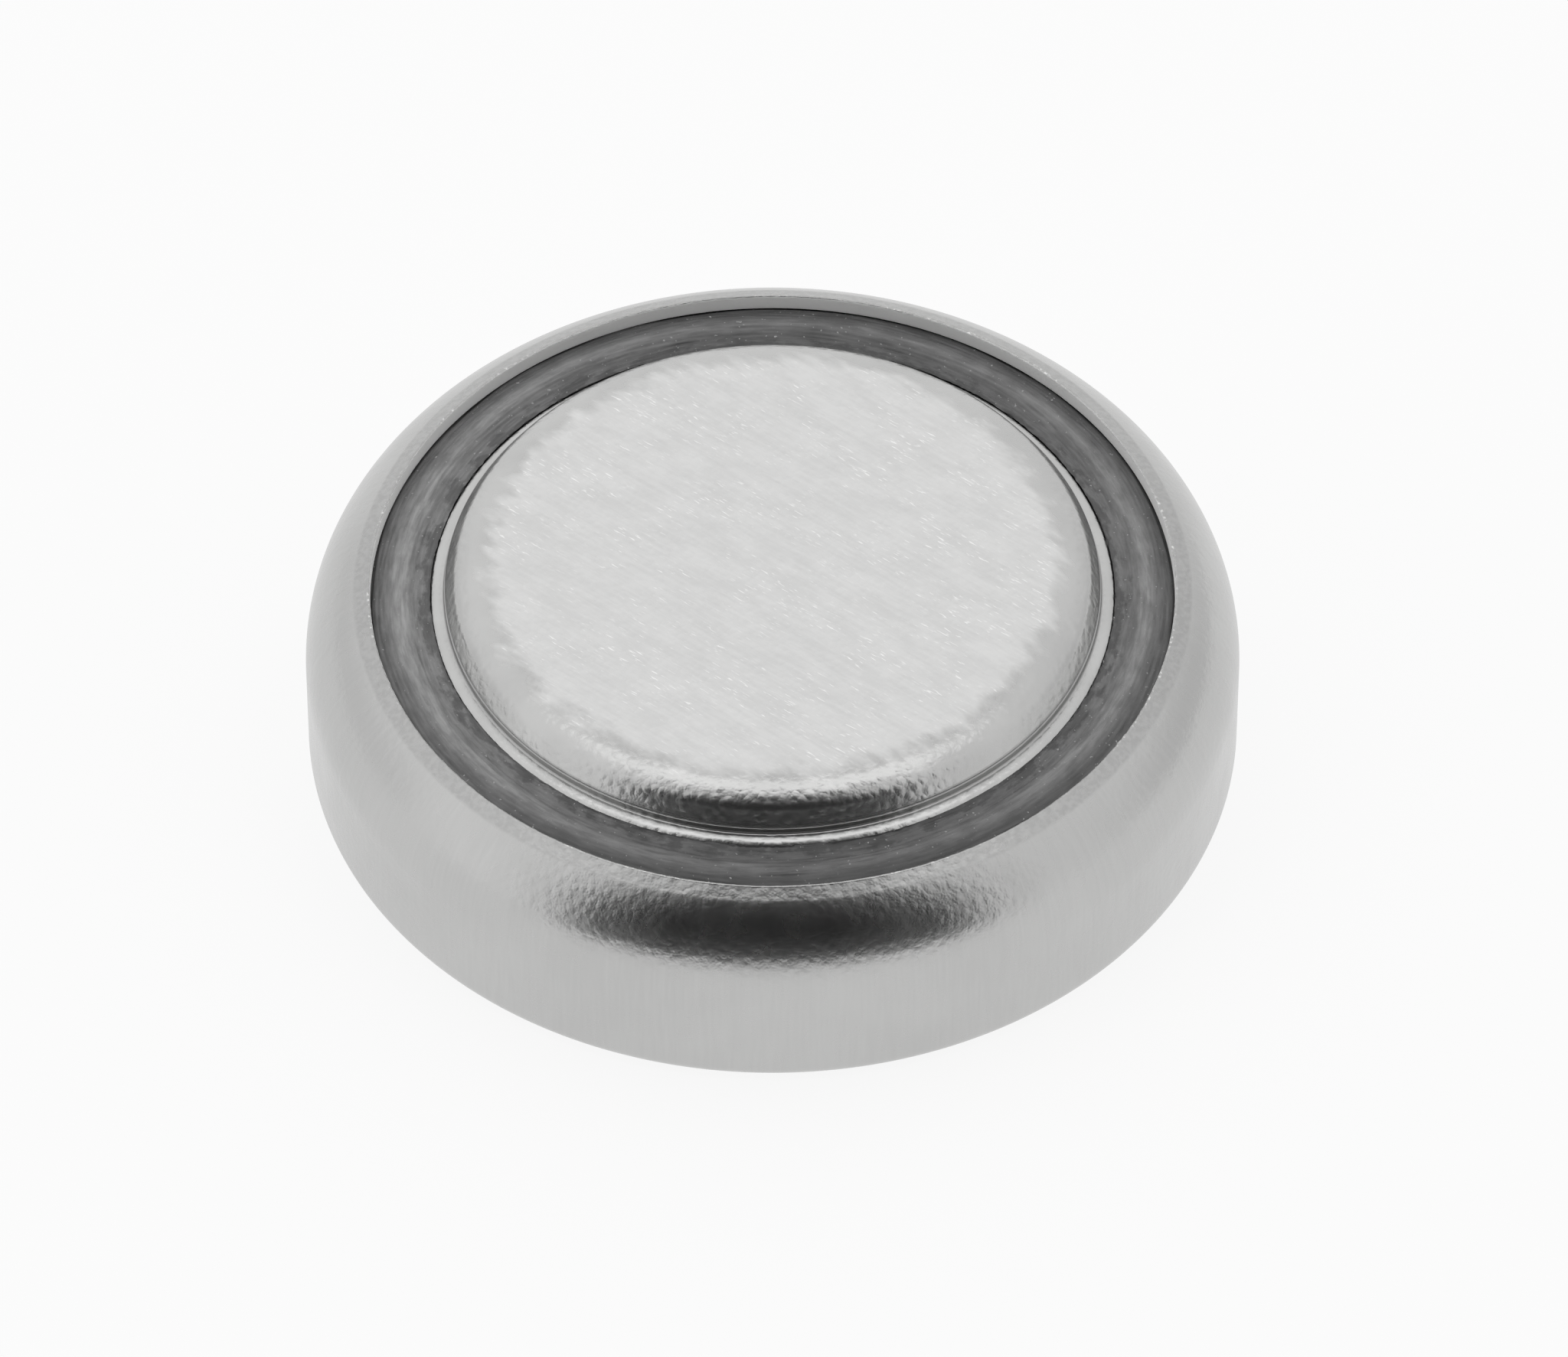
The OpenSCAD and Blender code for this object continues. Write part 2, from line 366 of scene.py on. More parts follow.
def cap_section(s, cap):
    """The cap's section: out along its inside, round the folded rim, and back over the ledge and the dome."""
    t = s.cap_t
    inner_foot = (cap.dome_r - t, cap.foot_z - t * math.tan(math.radians(FLANK_TURN / 2)))
    groove = arc((cap.dome_r, cap.foot_z), s.witness_r, 270, 90 + FLANK_TURN, 10)
    flank_top = arc(cap.corner, s.corner_r, FLANK_TURN, DOME_TURN, 14)
    inside = section(
        straight((0, s.cell_h - t), (cap.flat_r, s.cell_h - t), 2),
        arc(cap.crown, s.crown_r - t, 90, DOME_TURN, 4),
        arc(cap.corner, s.corner_r - t, DOME_TURN, FLANK_TURN, 2),
        [inner_foot],
        arc(cap.step, s.step_fillet + t, 180, 270, 5),
        arc(cap.ledge, s.ledge_r - t, 90, 0, 2),
        arc(cap.hollow, s.shoulder_fillet + t, 180, 270, 5),
        arc(cap.shoulder, s.shoulder_r - t, 90, 0, 4),
    )
    rim = section(
        arc(cap.fold, cap.fold_turn_r, 180, 360, 8),
        straight((s.fold_r, cap.fold[1]), (s.fold_r, cap.fold_top), 1),
        straight((s.fold_r, cap.fold_top), (cap.skirt_r + s.fold_gap, cap.fold_top), 1),
        arc(cap.fold, s.fold_gap / 2, 0, -180, 4),
        arc(cap.shoulder, s.shoulder_r, 0, 90, 6),
    )
    outside = section(
        arc(cap.hollow, s.shoulder_fillet, 270, 180, 6),
        arc(cap.ledge, s.ledge_r, 0, 90, 20),
        arc(cap.step, s.step_fillet, 270, 180, 8),
        groove,
        straight(groove[-1], flank_top[0], 12),
        flank_top,
        arc(cap.crown, s.crown_r, DOME_TURN, 90, 28),
        straight((cap.flat_r, s.cell_h), (0, s.cell_h), 12),
    )
    return section(inside, rim, outside)


def gasket_section(s, can, cap):
    """The gasket's closed section: floor, outer wall and curl, the crown that shows, and the cap's seat.

    Where the ring meets the cap's ledge, a thin edge of nylon is squeezed up along the ledge's bend.
    """
    gap = s.seat_gap
    turn = math.degrees(s.curl_turn)
    foot_r = can.bore_r - gap
    foot_corner = can.inner_base_r + gap
    wall_turn = s.curl_r - s.can_t - gap
    crease = tuple(
        c + wall_turn * d for c, d in zip(can.curl, (math.cos(s.curl_turn), math.sin(s.curl_turn)))
    )
    seat_z = can.lip_foot[1] - gap
    seat_r = crease[0] - (seat_z - crease[1]) / math.tan(s.land_slope)
    ring_out_r = can.lip_r - s.ring_gap
    ring_in_r = cap.collar_r + s.ring_gap
    bulge = (can.lip_r - s.bulge_in, GASKET_BOX[1].z - s.bulge_r)
    bulge_out = math.degrees(math.acos((ring_out_r - bulge[0]) / s.bulge_r))
    bulge_in = math.degrees(math.acos((ring_in_r + s.squeeze_w - bulge[0]) / s.bulge_r))
    ring_out_z = bulge[1] + s.bulge_r * math.sin(math.radians(bulge_out))
    hug_r = s.ledge_r + s.ring_gap
    hug_turn = math.degrees(s.squeeze_turn)
    hollow_r = s.shoulder_fillet - gap
    hollow_start = 360 - math.degrees(math.acos((ring_in_r - cap.hollow[0]) / hollow_r))
    upstand_out_r = cap.skirt_r - s.cap_t - gap
    upstand_in_r = upstand_out_r - s.upstand_t
    gel_z = GEL_BOX[0].z
    crown = arc(bulge, s.bulge_r, bulge_out, bulge_in, 70)
    squeezed = arc(cap.ledge, hug_r, hug_turn, 0, 10)
    points = section(
        straight((upstand_in_r, s.can_t), (foot_r - foot_corner, s.can_t), 3),
        arc((foot_r - foot_corner, s.can_t + foot_corner), foot_corner, -90, 0, 3),
        arc(can.curl, wall_turn, 0, turn, 16),
        straight(crease, (seat_r, seat_z), 2),
        straight((ring_out_r, seat_z), (ring_out_r, ring_out_z), 4),
        crown,
        straight(crown[-1], squeezed[0], 24),
        squeezed,
        arc(cap.hollow, hollow_r, hollow_start, 270, 5),
        arc(cap.shoulder, s.shoulder_r + gap, 90, 0, 6),
        straight((cap.skirt_r + gap, cap.fold_top + gap), (s.fold_r + gap, cap.fold_top + gap), 1),
        arc(cap.fold, cap.fold_turn_r + gap, 0, -180, 8),
        straight((upstand_out_r, gel_z), (upstand_in_r, gel_z), 1),
        straight((upstand_in_r, gel_z), (upstand_in_r, s.can_t), 2),
    )
    return points[:-1]


# Turned surfaces


def smooth(share):
    """Smooth step: 3 s squared less 2 s cubed, with s kept between 0 and 1."""
    share = np.clip(share, 0, 1)
    return share * share * (3 - 2 * share)


def waves(angle, along, rounds, reach, count, seed):
    """A smooth uneven surface of about unit height on a grid of (along, angle).

    The sum of count sine waves. Each has a whole number of periods round the piece, picked from rounds, and
    its own slant along the section, within reach radians per metre.
    """
    pick = np.random.default_rng(seed)
    periods = pick.integers(rounds[0], rounds[1], count)[:, None, None]
    slant = pick.uniform(-reach, reach, count)[:, None, None]
    phase = pick.uniform(0, 2 * math.pi, count)[:, None, None]
    total = np.sin(periods * angle[None, None, :] + slant * along[None, :, None] + phase).sum(axis=0)
    return total * math.sqrt(2 / count)


def outward(points, closed):
    """Unit normals of a section that runs counter-clockwise: its direction, turned a quarter clockwise."""
    if closed:
        run = np.roll(points, -1, axis=0) - np.roll(points, 1, axis=0)
    else:
        run = np.gradient(points, axis=0)
    run /= np.linalg.norm(run, axis=1)[:, None]
    return np.column_stack((run[:, 1], -run[:, 0]))


def turned(name, points, turns, closed, relief=None):
    """Mesh of a section turned about the axis.

    A point is (r cos a, r sin a, z), where (r, z) is the section's point lifted along its normal by
    relief(points, along, angle), and a runs evenly round. An open section starts and ends on the axis, where
    each end is one shared point. The run attribute holds the same turn at a steady radius with the distance
    along the section as height, for patterns that follow the surface.
    """
    angle = np.arange(turns) * 2 * math.pi / turns
    along = np.append(0, np.cumsum(np.linalg.norm(np.diff(points, axis=0), axis=1)))
    lift = np.zeros((len(points), turns)) if relief is None else relief(points, along, angle)
    normals = outward(points, closed)
    radius = points[:, :1] + normals[:, :1] * lift
    height = points[:, 1:] + normals[:, 1:] * lift
    place = np.stack((radius * np.cos(angle), radius * np.sin(angle), height), axis=-1)
    widest = points[:, 0].max()
    follow = np.stack(
        np.broadcast_arrays(widest * np.cos(angle), widest * np.sin(angle), along[:, None]), axis=-1
    )

    index = np.arange(len(points) * turns).reshape(len(points), turns)
    if not closed:
        place[0] = (0, 0, points[0, 1])
        place[-1] = (0, 0, points[-1, 1])
    upper = np.roll(index, -1, axis=0) if closed else index[1:]
    lower = index if closed else index[:-1]
    quads = np.stack((lower, np.roll(lower, -1, 1), np.roll(upper, -1, 1), upper), axis=-1).reshape(-1, 4)

    mesh = bpy.data.meshes.new(name)
    mesh.from_pydata(place.reshape(-1, 3), [], quads)
    mesh.attributes.new("run", "FLOAT_VECTOR", "POINT").data.foreach_set(
        "vector", follow.astype(np.float32).ravel()
    )
    piece = bpy.data.objects.new(name, mesh)
    bpy.context.scene.collection.objects.link(piece)
    if not closed:
        close_poles(mesh)
    mesh.shade_smooth()
    mesh.set_sharp_from_angle(angle=math.radians(40))
    return piece


def close_poles(mesh):
    """Merges the points that share each end of the axis, so that both poles are closed fans."""
    work = bmesh.new()
    work.from_mesh(mesh)
    on_axis = [v for v in work.verts if v.co.x * v.co.x + v.co.y * v.co.y < 1e-14]
    bmesh.ops.remove_doubles(work, verts=on_axis, dist=1e-7)
    work.to_mesh(mesh)
    work.free()


def dress(piece, node, finish):
    """Makes a piece stand for its CAD node: hangs it under the root body, hides the node, and gives the piece
    a finish.
    """
    piece.data.materials.append(finish)
    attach(piece, "root")
    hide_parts(node)


# Finishes


def rgba(colour_value, level=1.0):
    """A colour times a level, with full alpha."""
    return (*(channel * level for channel in colour_value), 1.0)


class Nodes:
    """A node tree under construction."""

    def __init__(self, tree):
        self.tree = tree
        self.tree.nodes.clear()

    def add(self, kind, sockets=None, output=0, **settings):
        """Adds a node, with its settings, values and links, and returns one of its outputs."""
        node = self.tree.nodes.new(kind)
        for key, value in settings.items():
            setattr(node, key, value)
        for key, value in (sockets or {}).items():
            if isinstance(value, bpy.types.NodeSocket):
                self.tree.links.new(value, node.inputs[key])
            else:
                node.inputs[key].default_value = value
        return node.outputs[output] if node.outputs else None

    def place(self):
        """Object coordinates, in metres."""
        return self.add("ShaderNodeTexCoord", output="Object")

    def run(self):
        """Coordinates that follow the turned surface."""
        return self.add("ShaderNodeAttribute", output="Vector", attribute_name="run")

    def radius(self, place):
        """Distance from the axis."""
        flat = self.add("ShaderNodeVectorMath", {0: place, 1: (1, 1, 0)}, operation="MULTIPLY")
        return self.add("ShaderNodeVectorMath", {0: flat}, output="Value", operation="LENGTH")

    def height(self, place):
        """Height above the origin."""
        return self.add("ShaderNodeSeparateXYZ", {"Vector": place}, output="Z")

    def toward(self, place, way):
        """How far a place lies in a direction, times the direction's length."""
        return self.add("ShaderNodeVectorMath", {0: place, 1: way}, "Value", operation="DOT_PRODUCT")

    def fit(self, vector, scale, turn=0.0):
        """Coordinates turned about the axis, and then scaled."""
        turned_vector = self.add("ShaderNodeMapping", {"Vector": vector, "Rotation": (0, 0, turn)})
        return self.add("ShaderNodeMapping", {"Vector": turned_vector, "Scale": scale})

    def noise(self, vector, size, detail=2.0, rough=0.5):
        """Noise whose grains are about size metres across."""
        return self.add(
            "ShaderNodeTexNoise",
            {"Vector": vector, "Scale": 1 / size, "Detail": detail, "Roughness": rough},
        )

    def ramp(self, value, low, high, out_low=0.0, out_high=1.0, smooth=True):
        """Maps low..high to out_low..out_high, clamped."""
        return self.add(
            "ShaderNodeMapRange",
            {"Value": value, "From Min": low, "From Max": high, "To Min": out_low, "To Max": out_high},
            interpolation_type="SMOOTHSTEP" if smooth else "LINEAR",
        )

    def past(self, radius, edge, near, far, inner=1.0, outer=0.0):
        """Inner inside an edge and outer outside it, changing near..far millimetres beyond the edge."""
        return self.ramp(radius, edge + near * MM, edge + far * MM, inner, outer)

    def math(self, operation, first, second=0.0):
        """One arithmetic step."""
        return self.add("ShaderNodeMath", {0: first, 1: second}, operation=operation)

    def times(self, product, *others):
        """Product of all the values."""
        for other in others:
            product = self.math("MULTIPLY", product, other)
        return product

    def off(self, value, middle):
        """How far a value is from the middle, either way."""
        return self.math("ABSOLUTE", self.math("SUBTRACT", value, middle))

    def blend(self, first, share, second):
        """A share of the first value, and the rest of the second."""
        return self.math("ADD", self.times(first, share), self.times(second, 1 - share))

    def mix(self, factor, first, second):
        """Blend of two colours."""
        return self.add(
            "ShaderNodeMix",
            {"Factor": factor, "A": first, "B": second},
            output="Result",
            data_type="RGBA",
        )

    def shaded(self, value, low, high, base, dark, light):
        """A base colour times dark..light, as the value goes from low to high."""
        return self.mix(self.ramp(value, low, high), rgba(base, dark), rgba(base, light))

    def bump(self, height, depth, normal=None):
        """Relief of the given depth in metres, on top of an earlier one."""
        sockets = {"Height": height, "Distance": depth, "Strength": 1.0}
        if normal is not None:
            sockets["Normal"] = normal
        return self.add("ShaderNodeBump", sockets)


class Finish(Nodes):
    """A node material under construction."""

    def __init__(self, name):
        self.material = bpy.data.materials.new(name)
        self.material.use_nodes = True
        super().__init__(self.material.node_tree)

    def surface(self, **sockets):
        """Ends the material in a Principled shader. A keyword's underscores are the socket's spaces."""
        named = {key.replace("_", " "): value for key, value in sockets.items()}
        shader = self.add("ShaderNodeBsdfPrincipled", named)
        self.add("ShaderNodeOutputMaterial", {"Surface": shader})
        return self.material


def plate_relief(finish, place, depth):
    """Relief of barrel-plated sheet: soft rounded bumps of the given depth, with a fine grain over them."""
    wander = {0: finish.noise(place, GRAIN.plate_drift), 3: 0.05 * MM}
    drift = finish.add("ShaderNodeVectorMath", wander, operation="SCALE")
    moved = finish.add("ShaderNodeVectorMath", {0: place, 1: drift}, operation="ADD")
    cells = {"Vector": moved, "Scale": 1 / GRAIN.plate_pebbles}
    from_middle = finish.add("ShaderNodeTexVoronoi", cells, output="Distance", feature="F1")
    pebbles = finish.ramp(from_middle, 0.05, 0.75, 1.0, 0.0)
    grain = finish.noise(place, GRAIN.plate_grain, 0.0)
    return finish.bump(grain, DEPTH.plate_grain, finish.bump(pebbles, depth))


def can_finish(colours, can):
    """Satin nickel plate with faint drawing streaks that follow the wall, and a torn, matt cut edge.

    The land, the worn edge and the cut face are marked by radius, and only as high up as the rim.
    """
    finish = Finish("satin_nickel_plate")
    place = finish.place()
    radius = finish.radius(place)
    height = finish.height(place)
    plate = colours.can_plate
    at_rim = finish.ramp(height, can.crease[1] - 0.7 * MM, can.crease[1] - 0.5 * MM)
    cut = finish.times(finish.past(radius, can.lip_r, 0.003, 0.012), at_rim)
    edge = finish.times(finish.past(radius, can.lip_r, 0.02, 0.05), at_rim)
    land = finish.times(finish.past(radius, can.crease[0], -0.02, 0.03), at_rim)

    streaks = finish.noise(finish.fit(finish.run(), (1, 1, 0.06)), GRAIN.can_streaks, 3.0)
    clouds = finish.noise(place, GRAIN.can_clouds, 3.0)
    satin = finish.shaded(finish.blend(streaks, 0.4, clouds), 0.3, 0.7, plate, 0.97, 1.03)
    scuffed = finish.shaded(finish.noise(place, GRAIN.land_scuffs), 0.35, 0.65, plate, 0.8, 0.88)
    # Painted glints: small patches of lighter plate along the worn edge stand in for the lamp's glints.
    painted_glint = finish.times(
        finish.ramp(finish.noise(place, GRAIN.lip_glints, 1.0), 0.52, 0.66, 0.0, 0.8),
        finish.ramp(finish.noise(place, GRAIN.glint_patches, 1.0), 0.45, 0.6),
        edge,
    )
    base = finish.mix(land, satin, scuffed)
    base = finish.mix(painted_glint, base, rgba(plate, 1.6))
    # Painted light: the cut face is painted a much lighter plate colour, to make up for the shade it lies in
    # under the lip.
    base = finish.mix(cut, base, rgba(plate, 1.8))

    rough = finish.ramp(finish.noise(place, GRAIN.satin, 3.0), 0.3, 0.7, 0.25, 0.29, smooth=False)
    rough = finish.math("MAXIMUM", rough, finish.times(cut, 0.62))
    metal = finish.ramp(cut, 0.0, 1.0, 1.0, 0.0, smooth=False)

    relief = finish.bump(streaks, DEPTH.can_streaks, plate_relief(finish, place, DEPTH.can_pebbles))
    tears = finish.times(finish.noise(place, GRAIN.lip_tears), finish.math("MAXIMUM", cut, edge))
    relief = finish.bump(tears, DEPTH.lip_tears, relief)
    # The cut face leans back: half a metre of relief for each metre below the lip's edge
    below = finish.math("MAXIMUM", finish.math("SUBTRACT", can.lip_centre[1], height))
    relief = finish.bump(finish.times(below, cut), 0.5, relief)
    return finish.surface(Base_Color=base, Metallic=metal, Roughness=rough, Normal=relief)


def cap_finish(colours, cap):
    """Satin nickel plate, brushed one way on the flat, with a ragged edge to the brushing."""
    finish = Finish("brushed_nickel_plate")
    place = finish.place()
    radius = finish.radius(place)
    brush_turn = math.radians(38)

    def brushing(stretch, size, detail, rough=0.5):
        """Noise drawn out along the brushing: the smaller the stretch, the longer its grains."""
        return finish.noise(finish.fit(place, (stretch, 1, 1), brush_turn), size, detail, rough)

    lines = brushing(0.09, GRAIN.brush_lines, 3.0, 0.6)
    strokes = brushing(0.4, GRAIN.brush_strokes, 3.0)
    ragged = finish.ramp(strokes, 0.2, 0.8, -0.2 * MM, 0.2 * MM, smooth=False)
    brushed = finish.past(finish.math("ADD", radius, ragged), cap.flat_r, -0.06, 0.24)

    clouds = finish.noise(place, GRAIN.cap_clouds, 3.0)
    plain = finish.shaded(clouds, 0.3, 0.7, colours.cap_plate, 0.96, 1.04)
    worn = finish.blend(lines, 0.4, brushing(0.5, GRAIN.flat_blotches, 4.0, 0.65))
    lined = finish.shaded(worn, 0.35, 0.65, colours.cap_brushed, 0.96, 1.05)
    # Painted sparkles: specks of a lighter brushed colour on the flat stand in for glints of light in the
    # brushing.
    painted_sparkles = finish.times(
        brushed,
        finish.ramp(finish.noise(place, GRAIN.fleck_patches), 0.4, 0.6),
        finish.ramp(brushing(0.16, GRAIN.brush_flecks, 1.0), 0.63, 0.74),
    )
    # Painted shade: the plate is painted dark, and made rougher, in a thin band round the dome's foot at the
    # witness line.
    painted_groove_shade = finish.past(finish.off(radius, cap.dome_r), 0.0, 0.015, 0.03, 0.34)
    base = finish.mix(brushed, plain, lined)
    base = finish.mix(painted_sparkles, base, rgba(colours.cap_brushed, 1.3))
    base = finish.mix(painted_groove_shade, base, rgba(colours.cap_plate, 0.2))

    rough = finish.ramp(brushed, 0.0, 1.0, 0.27, 0.36, smooth=False)
    rough = finish.math("MAXIMUM", rough, painted_groove_shade)
    relief = plate_relief(finish, place, DEPTH.cap_pebbles)
    relief = finish.bump(finish.times(lines, brushed), DEPTH.brush_lines, relief)
    return finish.surface(Base_Color=base, Metallic=1.0, Roughness=rough, Normal=relief)


def nylon_finish(colours, can, cap):
    """Grey nylon, matt, with painted light along the ring's crown and at its two sides, painted shade beside
    the lip and the cap and at the back of the inner band, and pale specks.
    """
    finish = Finish("grey_nylon")
    place = finish.place()
    run = finish.run()
    radius = finish.radius(place)
    lip = can.lip_r

    def ragged(stretch, detail, rough, low, high, reach):
        """The radius, shifted by up to reach millimetres where noise drawn out round the ring says so."""
        wander = finish.noise(finish.fit(run, (stretch, stretch, 1)), GRAIN.nylon_tears, detail, rough)
        return finish.math("ADD", radius, finish.ramp(wander, low, high, -reach * MM, reach * MM))

    marks = finish.noise(finish.fit(run, (0.12, 0.12, 1)), GRAIN.nylon_marks, 3.0, 0.6)
    clouds = finish.noise(place, GRAIN.nylon_clouds, 3.0)
    body = finish.shaded(finish.blend(marks, 0.65, clouds), 0.32, 0.68, colours.nylon, 0.7, 1.22)

    # Painted light: the nylon is painted paler along a ragged line on the ring's crown, where light falls on
    # it.
    off_ridge = finish.off(ragged(0.3, 2.0, 0.5, 0.2, 0.8, 0.06), lip - 0.37 * MM)
    painted_crest_light = finish.past(off_ridge, 0.0, 0.0, 0.15, 1.4, 0.95)
    # Painted shade: the nylon is painted darker next to the lip, where the lip shades it.
    painted_shade_by_lip = finish.times(
        finish.past(radius, lip, -0.34, -0.12, 1.0, 0.62),
        finish.past(radius, lip, -0.07, -0.02, 1.0, 0.6),
    )
    # Painted shade: the nylon is painted darker in a ragged band beside the cap's collar, between the two
    # parts.
    torn = ragged(0.4, 4.0, 0.6, 0.25, 0.75, 0.14)
    painted_shade_by_cap = finish.past(torn, cap.collar_r, -0.03, 0.09, 0.5, 1.0)

    # Painted light and shade: paler at the ring's left and right, most at the left, and darker at the front,
    # as the light falls.
    across = finish.toward(place, (1 / lip, 0, 0))
    lean = finish.toward(place, (-0.25 / lip, 0.12 / lip, 0))
    painted_side_light = finish.math("ADD", finish.math("ADD", finish.times(across, across, 1.05), lean), 0.84)
    # Painted shade and light: the inner band of the ring, by the squeezed edge, is painted darker towards the
    # back and paler towards the front.
    backward = finish.toward(place, (0, 1 / lip, 0))
    inner = finish.past(radius, lip, -0.42, -0.32, 0.25)
    squeezed = finish.math("SUBTRACT", 1.0, finish.times(inner, backward))
    # All the painted light and shade of the ring, laid over the nylon's own mottled colour.
    painted_shading = finish.times(painted_crest_light, finish.times(painted_shade_by_lip, painted_shade_by_cap), finish.times(painted_side_light, squeezed))
    body_with_painted_shading = finish.add("ShaderNodeVectorMath", {0: body, 3: painted_shading}, operation="SCALE")

    specks = finish.ramp(finish.noise(place, GRAIN.nylon_specks, 1.0), 0.7, 0.78)
    base = finish.mix(specks, body_with_painted_shading, rgba(colours.nylon, 3.0))
    relief = finish.bump(finish.noise(place, GRAIN.nylon_skin), DEPTH.nylon_skin)
    return finish.surface(Base_Color=base, Roughness=0.42, IOR=1.55, Normal=relief)


def powder_finish(name, base_colour, grain, fleck_colour, roughness, metallic=0.0):
    """Pressed powder or paste: a body colour with grains of another."""
    finish = Finish(name)
    place = finish.place()
    grains = finish.noise(place, grain, 2.0)
    base = finish.mix(finish.ramp(grains, 0.45, 0.7), rgba(base_colour), rgba(fleck_colour))
    return finish.surface(
        Base_Color=base,
        Metallic=metallic,
        Roughness=roughness,
        Normal=finish.bump(grains, grain / 5),
    )


def film_finish(colours):
    """Damp cellophane: glossy and clear, with faint wrinkles."""
    finish = Finish("clear_cellophane")
    wrinkles = finish.noise(finish.place(), GRAIN.film_wrinkles, 3.0)
    base = finish.mix(wrinkles, rgba(colours.film, 0.9), rgba(colours.film, 1.1))
    return finish.surface(
        Base_Color=base,
        Roughness=0.12,
        IOR=1.47,
        Transmission_Weight=0.6,
        Normal=finish.bump(wrinkles, DEPTH.film_wrinkles),
    )


def pad_finish(colours):
    """Wet felt: crossed fibres, darker between them."""
    finish = Finish("non_woven_felt")
    place = finish.place()
    one_way, other_way = (
        finish.noise(finish.fit(place, (0.1, 1, 1), math.radians(turn)), GRAIN.pad_fibres)
        for turn in (25, 115)
    )
    fibres = finish.math("MAXIMUM", one_way, other_way)
    base = finish.shaded(fibres, 0.4, 0.7, colours.pad, 0.7, 1.1)
    relief = finish.bump(fibres, DEPTH.pad_fibres)
    return finish.surface(Base_Color=base, Roughness=0.65, Sheen_Weight=0.2, Normal=relief)


# Operators


class BUTTONCELL_OT_can(Operator):
    """Build the can: base, wall, curled rim, flattened land and trimmed lip"""

    bl_idname = "buttoncell.can"
    bl_label = "Can"

    def execute(self, context):
        s = context.scene.cell_sizes
        can = CanPlaces(s)

        def relief(points, along, angle):
            """Uneven crimp: long shallow waves on the land, and short nicks on the trimmed edge."""
            land = np.clip((points[:, 1] - can.crease[1]) / (s.lip_z - can.crease[1]), 0, 1)
            land[-sum(INNER_STEPS) :] = 0
            long_waves = waves(angle, along, (8, 40), 2000, 16, seed=3)
            nicks = waves(angle, along, (90, 260), 6000, 24, seed=4)
            return land[:, None] * (DEPTH.land_waves * long_waves + DEPTH.lip_nicks * nicks)

        piece = turned("can_shell", can_section(s, can), s.turns, closed=False, relief=relief)
        dress(piece, "can", can_finish(context.scene.cell_finishes, can))
        return {"FINISHED"}


class BUTTONCELL_OT_gasket(Operator):
    """Build the nylon gasket, with the squeezed ring that shows inside the lip"""

    bl_idname = "buttoncell.gasket"
    bl_label = "Gasket"

    def execute(self, context):
        s = context.scene.cell_sizes
        can = CanPlaces(s)
        cap = CapPlaces(s, can)
        ring_in_r = cap.collar_r + s.ring_gap

        def relief(points, along, angle):
            """Squeezed ring: low ridges that run round, a ragged inner edge and a sunk outer one."""
            across = ((points[:, 0] - ring_in_r) / (can.lip_r - s.ring_gap - ring_in_r))[:, None]
            high = points[:, 1] > GASKET_BOX[1].z - DEPTH.ring_shown
            shown = (high & (points[:, 0] < can.lip_r))[:, None]
            ridges = waves(angle, along, (3, 24), 110000, 32, seed=7)
            ragged = waves(angle, along, (12, 150), 20000, 32, seed=8)
            edge = 1 - smooth((across + 0.16) / 0.14)
            outer = smooth((across - 0.72) / 0.28)
            torn = DEPTH.ring_tears * np.abs(ragged)
            return shown * (DEPTH.ring_ridges * ridges - edge * torn - DEPTH.ring_sink * outer)

        piece = turned("sealing_ring", gasket_section(s, can, cap), s.turns, closed=True, relief=relief)
        finish = nylon_finish(context.scene.cell_finishes, can, cap)
        dress(piece, "gasket", finish)
        return {"FINISHED"}


class BUTTONCELL_OT_cap(Operator):
    """Build the cap: brushed flat, dome, witness line, step, ledge and folded rim"""

    bl_idname = "buttoncell.cap"
    bl_label = "Cap"

    def execute(self, context):
        s = context.scene.cell_sizes
        cap = CapPlaces(s, CanPlaces(s))
        piece = turned("cap_shell", cap_section(s, cap), s.turns, closed=False)
        dress(piece, "anode_cap", cap_finish(context.scene.cell_finishes, cap))
        return {"FINISHED"}


class BUTTONCELL_OT_filling(Operator):
    """Finish the sealed inner pieces: pellet, film, pad and gel"""

    bl_idname = "buttoncell.filling"
    bl_label = "Filling"

    def execute(self, context):
        colours = context.scene.cell_finishes
        finishes = {
            "cathode_pellet": powder_finish(
                "pressed_cathode", colours.cathode, GRAIN.cathode, (0.11, 0.11, 0.115), 0.8
            ),
            "barrier_film": film_finish(colours),
            "absorbent_pad": pad_finish(colours),
            "anode_gel": powder_finish(
                "zinc_gel", colours.gel, GRAIN.gel, (0.5, 0.51, 0.53), 0.35, metallic=0.4
            ),
        }
        for node, finish in finishes.items():
            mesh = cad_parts[node].data
            mesh.materials.clear()
            mesh.materials.append(finish)
        return {"FINISHED"}


class BUTTONCELL_OT_stage(Operator):
    """Set the stage: pale floor, white tent with a dark front, lamp overhead and camera"""

    bl_idname = "buttoncell.stage"
    bl_label = "Stage"

    def execute(self, context):
        stage = context.scene.cell_stage
        floor(stage)
        dark_front(stage)
        lamp(context, stage)
        tent(context)
        camera(context, stage, context.scene.cell_sizes)
        return {"FINISHED"}


# Stage


def sheet_mesh(name, corners):
    """A flat piece of the stage with the given corners."""
    mesh = bpy.data.meshes.new(name)
    mesh.from_pydata(corners, [], [list(range(len(corners)))])
    piece = bpy.data.objects.new(name, mesh)
    bpy.context.scene.collection.objects.link(piece)
    return piece


